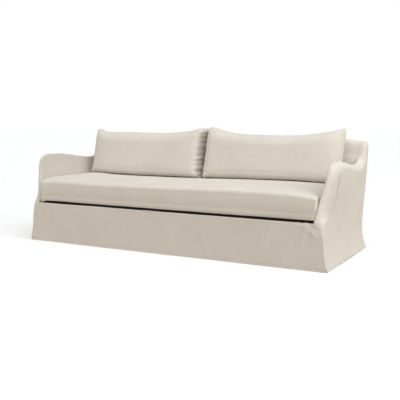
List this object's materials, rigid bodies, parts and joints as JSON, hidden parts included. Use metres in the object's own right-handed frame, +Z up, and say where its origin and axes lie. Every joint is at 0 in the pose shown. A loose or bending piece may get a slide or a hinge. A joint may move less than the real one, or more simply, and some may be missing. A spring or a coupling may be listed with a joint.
{
  "type": "sofa slipcover",
  "caption": "fitted linen slipcover for a three-seat sofa, hollow under its top, with sloping scooped arms, a straight skirt to the floor, a bench seat cushion and loose back cushions",
  "frame": {"origin": "on the floor under the middle of the cover, the middle of its whole box", "axes": "+X to the right of someone facing its front, along its length; +Y to the rear; +Z up"},
  "size_m": [2.4886, 0.9772, 0.8955],
  "materials": {
    "linen": "oatmeal plain-weave linen with slubs, matt",
    "decking": "charcoal decking cloth, matt"
  },
  "bodies": {
    "root": {"front_panel": "linen", "deck": "decking", "inside_back": "linen", "outside_back": "linen", "inside_arm_left": "linen", "inside_arm_right": "linen", "outside_arm_left": "linen", "outside_arm_right": "linen", "arm_band_left": "linen", "arm_band_right": "linen", "back_side_left": "linen", "back_side_right": "linen", "seat_cushion": "linen", "back_cushion_left": "linen", "back_cushion_right": "linen"}
  },
  "joints": []
}
